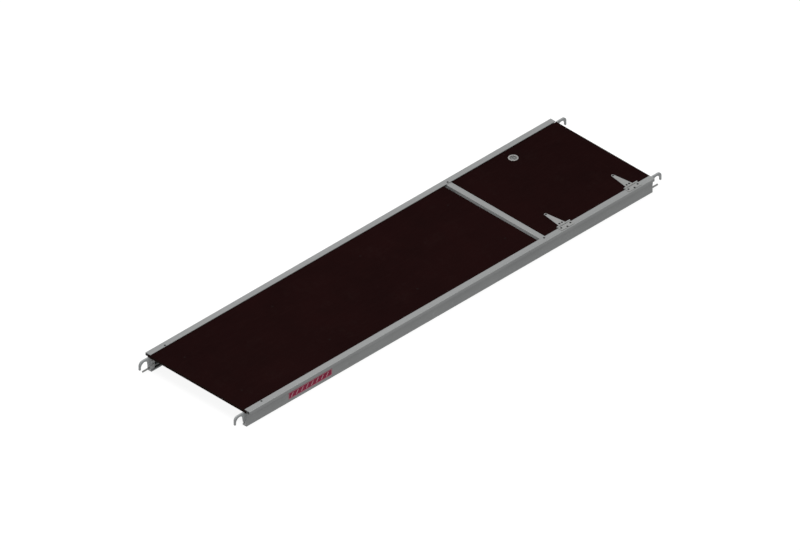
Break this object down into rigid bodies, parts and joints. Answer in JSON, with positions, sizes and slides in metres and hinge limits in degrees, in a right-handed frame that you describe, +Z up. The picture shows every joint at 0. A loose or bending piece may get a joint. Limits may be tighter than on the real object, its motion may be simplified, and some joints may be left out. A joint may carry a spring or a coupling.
{
  "type": "scaffold access platform",
  "caption": "Aluminium-railed scaffold deck with claw hooks, plywood surface, a hinged trapdoor with a ring latch and sliding anti-lift rods.",
  "frame": {"origin": "centre of the plank in plan, on the plane that the rails' feet stand on", "axes": "+X along the plank towards the trapdoor end, +Y from the hinge side to the latch side, +Z up"},
  "size_m": [2.5604, 0.625, 0.0875],
  "materials": {
    "extruded_aluminium": "mill-finish extrusion, satin",
    "galvanised_steel": "hot-dip galvanised plate, matt",
    "cast_aluminium": "cast and machined",
    "film_faced_plywood": "dark brown phenolic film on birch plywood",
    "black_fastener": "blackened steel",
    "zinc_plated_steel": "zinc plated",
    "cast_latch": "satin die casting",
    "black_knob": "moulded",
    "label_vinyl": "printed vinyl"
  },
  "bodies": {
    "frame": {"bracket_screws_far_left": "zinc_plated_steel", "bracket_screws_near_right": "zinc_plated_steel", "cross_bar": "extruded_aluminium", "cross_bar_rivets": "black_fastener", "deck_bearer_1": "extruded_aluminium", "deck_bearer_2": "extruded_aluminium", "deck_bearer_3": "extruded_aluminium", "deck_bearer_4": "extruded_aluminium", "deck_rivets": "black_fastener", "deck_screws": "black_fastener", "end_block_far_left": "cast_aluminium", "end_block_far_right": "cast_aluminium", "end_block_near_left": "cast_aluminium", "end_block_near_right": "cast_aluminium", "hatch_end_beam": "extruded_aluminium", "hatch_rest": "extruded_aluminium", "hatch_rest_rivets": "zinc_plated_steel", "hinge_leaf_left": "zinc_plated_steel", "hinge_leaf_right": "zinc_plated_steel", "hinge_leaf_rivets": "black_fastener", "hinge_pin_left": "zinc_plated_steel", "hinge_pin_right": "zinc_plated_steel", "hook_bolts": "zinc_plated_steel", "hook_far_left": "galvanised_steel", "hook_far_right": "galvanised_steel", "hook_near_left": "galvanised_steel", "hook_near_right": "galvanised_steel", "label": "label_vinyl", "main_deck": "film_faced_plywood", "rail_far_foot": "extruded_aluminium", "rail_far_top": "extruded_aluminium", "rail_far_web": "extruded_aluminium", "rail_near_foot": "extruded_aluminium", "rail_near_top": "extruded_aluminium", "rail_near_web": "extruded_aluminium", "rod_bracket_far_left": "zinc_plated_steel", "rod_bracket_near_right": "zinc_plated_steel"},
    "hatch": {"hatch_panel": "film_faced_plywood", "hinge_strap_left": "zinc_plated_steel", "hinge_strap_right": "zinc_plated_steel", "hinge_strap_bolts": "black_fastener", "hinge_strap_nuts": "zinc_plated_steel", "latch_cup": "cast_latch", "latch_cup_screws": "zinc_plated_steel", "latch_stop_screw": "black_fastener"},
    "latch": {"latch_core": "zinc_plated_steel", "latch_cam": "zinc_plated_steel", "latch_nut": "zinc_plated_steel", "ring_pin": "zinc_plated_steel"},
    "ring": {"pull_ring": "zinc_plated_steel"},
    "lock_near_right": {"lock_rod_near_right": "zinc_plated_steel", "rod_collar_near_right": "zinc_plated_steel", "rod_handle_near_right": "black_knob"},
    "lock_far_left": {"lock_rod_far_left": "zinc_plated_steel", "rod_collar_far_left": "zinc_plated_steel", "rod_handle_far_left": "black_knob"}
  },
  "joints": [
    {"name": "hatch_hinge", "type": "hinge", "parent": "frame", "child": "hatch", "pos_m": [0.9045, -0.2768, 0.0835], "axis": [1, 0, 0], "range_deg": [0, 100]},
    {"name": "latch_turn", "type": "hinge", "parent": "hatch", "child": "latch", "pos_m": [0.9005, 0.2215, 0.0665], "axis": [0, 0, 1], "range_deg": [0, 90]},
    {"name": "ring_fold", "type": "hinge", "parent": "latch", "child": "ring", "pos_m": [0.9005, 0.215, 0.0745], "axis": [1, 0, 0], "range_deg": [0, 90]},
    {"name": "lock_slide_near_right", "type": "slide", "parent": "frame", "child": "lock_near_right", "axis": [-1, 0, 0], "range_m": [0, 0.046]},
    {"name": "lock_slide_far_left", "type": "slide", "parent": "frame", "child": "lock_far_left", "axis": [1, 0, 0], "range_m": [0, 0.046]}
  ]
}
